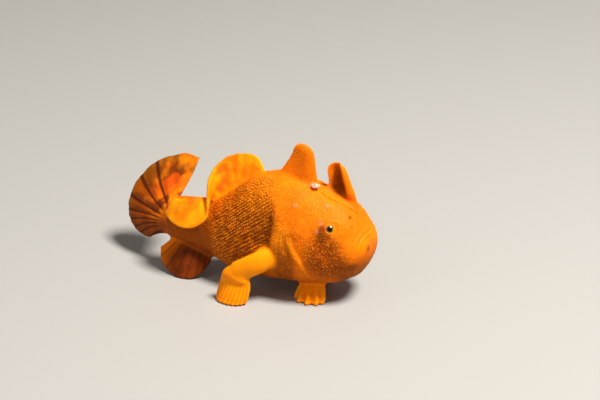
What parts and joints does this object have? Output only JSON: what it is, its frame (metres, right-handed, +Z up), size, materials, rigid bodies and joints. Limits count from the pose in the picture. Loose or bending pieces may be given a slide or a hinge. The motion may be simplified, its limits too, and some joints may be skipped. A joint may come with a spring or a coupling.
{
  "type": "juvenile painted frogfish, life-size still model",
  "caption": "Young orange frogfish standing on its pectoral and pelvic fins, dorsal spines raised, soft dorsal fin folded to the right and tail fin curled to the left.",
  "frame": {"origin": "on the floor, under the middle of the whole fish", "axes": "+X towards the snout, +Y towards the fish's left side, +Z up"},
  "size_m": [0.0556, 0.0238, 0.0321],
  "materials": {
    "skin": "matt, set with close-packed prickles",
    "fin": "satin, thin skin over rays, blotched orange and yellow",
    "lure": "matt pinkish white",
    "eye": "wet gloss, dark pupil in a golden ring"
  },
  "bodies": {
    "root": {"head": "skin", "lower_jaw": "skin", "trunk": "skin", "caudal_peduncle": "skin", "dorsal_spine_second": "skin", "dorsal_spine_third": "skin", "soft_dorsal_fin": "fin", "caudal_fin": "fin", "anal_fin": "fin", "illicium": "skin", "esca": "lure", "pectoral_arm_right": "skin", "pectoral_arm_left": "skin", "pectoral_hand_right": "fin", "pectoral_hand_left": "fin", "pelvic_fin_right": "fin", "pelvic_fin_left": "fin", "eye_right": "eye", "eye_left": "eye"}
  },
  "joints": []
}
